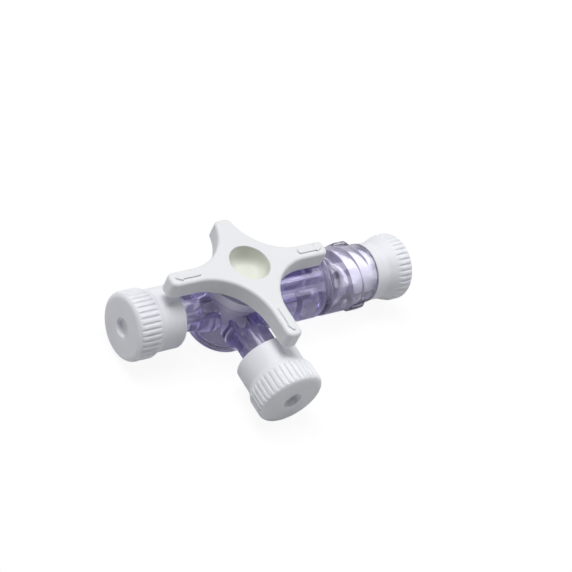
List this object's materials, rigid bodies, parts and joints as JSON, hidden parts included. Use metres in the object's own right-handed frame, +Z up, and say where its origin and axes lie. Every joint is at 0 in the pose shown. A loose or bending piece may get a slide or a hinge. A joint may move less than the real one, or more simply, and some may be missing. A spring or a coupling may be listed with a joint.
{
  "type": "three way stopcock",
  "caption": "Three way medical stopcock with a turning four armed handle, two capped female luer ports and a capped male luer port with a rotating lock collar.",
  "frame": {"origin": "on the barrel's axis, at the barrel's bottom face", "axes": "+Z up the barrel's axis to the handle, +X out of the male port, -X and -Y out of the two female ports"},
  "size_m": [0.0608, 0.0331, 0.018],
  "materials": {
    "tinted_body": "clear tinted, polished",
    "white_handle": "satin",
    "clear_collar": "clear, polished",
    "white_cap": "satin"
  },
  "bodies": {
    "housing": {"body": "tinted_body"},
    "plug": {"handle": "white_handle"},
    "lock_collar": {"collar": "clear_collar"},
    "cap_left": {"left_cap": "white_cap"},
    "cap_front": {"front_cap": "white_cap"},
    "cap_right": {"right_cap": "white_cap"}
  },
  "joints": [
    {"name": "handle_turn", "type": "hinge", "parent": "housing", "child": "plug", "pos_m": [0, 0, 0.0067], "axis": [0, 0, 1], "continuous": true},
    {"name": "collar_turn", "type": "hinge", "parent": "housing", "child": "lock_collar", "pos_m": [0.0244, 0, 0.0067], "axis": [1, 0, 0], "continuous": true},
    {"name": "left_cap_off", "type": "slide", "parent": "housing", "child": "cap_left", "axis": [-1, 0, 0], "range_m": [0, 0.012]},
    {"name": "front_cap_off", "type": "slide", "parent": "housing", "child": "cap_front", "axis": [0, -1, 0], "range_m": [0, 0.012]},
    {"name": "right_cap_off", "type": "slide", "parent": "housing", "child": "cap_right", "axis": [1, 0, 0], "range_m": [0, 0.012]}
  ]
}
